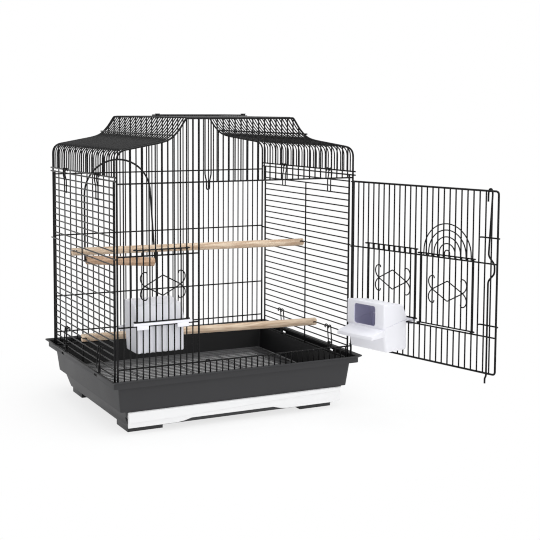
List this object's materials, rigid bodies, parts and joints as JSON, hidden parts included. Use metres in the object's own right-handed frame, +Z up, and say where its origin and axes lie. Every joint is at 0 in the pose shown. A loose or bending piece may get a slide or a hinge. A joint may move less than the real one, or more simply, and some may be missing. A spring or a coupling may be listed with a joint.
{
  "type": "bird cage",
  "caption": "Wire bird cage with a shaped roof, a plastic tub with a slide-out tray, an open front door, hooded feeders, perches and a swing.",
  "frame": {"origin": "middle of the underside of the front left foot", "axes": "+X along the front to the right, +Y from the front to the back, +Z up"},
  "size_m": [0.5931, 0.7213, 0.5714],
  "materials": {
    "black_wire": "glossy black coating",
    "dark_plastic": "satin black",
    "white_plastic": "smooth white",
    "pale_wood": "bare turned dowel",
    "brown_wood": "bare turned dowel"
  },
  "bodies": {
    "cage": {"base_tub": "dark_plastic", "floor_grille": "black_wire", "front_panel": "black_wire", "back_panel": "black_wire", "left_side_panel": "black_wire", "right_side_panel": "black_wire", "roof_panel": "black_wire", "upper_perch": "pale_wood", "lower_perch": "pale_wood", "handle_bracket_left": "black_wire", "handle_bracket_right": "black_wire", "panel_feeder_cup": "white_plastic", "panel_feeder_hood": "white_plastic"},
    "tray_body": {"tray_front": "white_plastic", "tray": "white_plastic"},
    "door": {"main_door": "black_wire", "door_feeder_cup": "white_plastic", "door_feeder_hood": "white_plastic"},
    "rod": {"latch_rod": "black_wire"},
    "panel_feeder_door_body": {"panel_feeder_door": "black_wire"},
    "door_feeder_door_body": {"door_feeder_door": "black_wire"},
    "empty_feeder_door_body": {"door_empty_feeder_door": "black_wire"},
    "handle": {"carrying_handle": "black_wire"},
    "swing": {"swing_wire": "black_wire", "swing_perch": "brown_wood"},
    "top_clip_left_front_body": {"top_clip_left_front": "black_wire"},
    "bottom_clip_left_front_body": {"bottom_clip_left_front": "black_wire"},
    "top_clip_left_back_body": {"top_clip_left_back": "black_wire"},
    "bottom_clip_left_back_body": {"bottom_clip_left_back": "black_wire"},
    "top_clip_right_front_body": {"top_clip_right_front": "black_wire"},
    "bottom_clip_right_front_body": {"bottom_clip_right_front": "black_wire"},
    "top_clip_right_back_body": {"top_clip_right_back": "black_wire"},
    "bottom_clip_right_back_body": {"bottom_clip_right_back": "black_wire"}
  },
  "joints": [
    {"name": "main_door_hinge", "type": "hinge", "parent": "cage", "child": "door", "pos_m": [0.4175, -0.05775, 0.28], "axis": [0, 0, 1], "range_deg": [-104.3, 60]},
    {"name": "latch_rod_slide", "type": "slide", "parent": "door", "child": "rod", "axis": [0, 0, 1], "range_m": [-0.008, 0]},
    {"name": "panel_feeder_door_slide", "type": "slide", "parent": "cage", "child": "panel_feeder_door_body", "axis": [0, 0, 1], "range_m": [0, 0.095]},
    {"name": "door_feeder_door_slide", "type": "slide", "parent": "door", "child": "door_feeder_door_body", "axis": [0, 0, 1], "range_m": [0, 0.095]},
    {"name": "empty_feeder_door_slide", "type": "slide", "parent": "door", "child": "empty_feeder_door_body", "axis": [0, 0, 1], "range_m": [0, 0.095]},
    {"name": "tray_slide", "type": "slide", "parent": "cage", "child": "tray_body", "axis": [0, -1, 0], "range_m": [0, 0.32]},
    {"name": "carrying_handle_hinge", "type": "hinge", "parent": "cage", "child": "handle", "pos_m": [0.1775, 0.11944, 0.56835], "axis": [1, 0, 0], "range_deg": [0, 180]},
    {"name": "swing_hinge", "type": "hinge", "parent": "cage", "child": "swing", "pos_m": [0.038, 0.21394, 0.52857], "axis": [1, 0, 0], "range_deg": [-4, 20]},
    {"name": "top_clip_left_front_hinge", "type": "hinge", "parent": "cage", "child": "top_clip_left_front_body", "pos_m": [-0.0657, 0.03675, 0.4614], "axis": [0, 1, 0], "range_deg": [0, 80]},
    {"name": "bottom_clip_left_front_hinge", "type": "hinge", "parent": "cage", "child": "bottom_clip_left_front_body", "pos_m": [-0.0631, 0.03125, 0.14498], "axis": [0, 1, 0], "range_deg": [0, 80]},
    {"name": "top_clip_left_back_hinge", "type": "hinge", "parent": "cage", "child": "top_clip_left_back_body", "pos_m": [-0.0657, 0.22575, 0.4614], "axis": [0, 1, 0], "range_deg": [0, 80]},
    {"name": "bottom_clip_left_back_hinge", "type": "hinge", "parent": "cage", "child": "bottom_clip_left_back_body", "pos_m": [-0.0631, 0.23125, 0.14498], "axis": [0, 1, 0], "range_deg": [0, 80]},
    {"name": "top_clip_right_front_hinge", "type": "hinge", "parent": "cage", "child": "top_clip_right_front_body", "pos_m": [0.4207, 0.03675, 0.4614], "axis": [0, -1, 0], "range_deg": [0, 80]},
    {"name": "bottom_clip_right_front_hinge", "type": "hinge", "parent": "cage", "child": "bottom_clip_right_front_body", "pos_m": [0.4181, 0.03125, 0.14498], "axis": [0, -1, 0], "range_deg": [0, 80]},
    {"name": "top_clip_right_back_hinge", "type": "hinge", "parent": "cage", "child": "top_clip_right_back_body", "pos_m": [0.4207, 0.22575, 0.4614], "axis": [0, -1, 0], "range_deg": [0, 80]},
    {"name": "bottom_clip_right_back_hinge", "type": "hinge", "parent": "cage", "child": "bottom_clip_right_back_body", "pos_m": [0.4181, 0.23125, 0.14498], "axis": [0, -1, 0], "range_deg": [0, 80]}
  ]
}
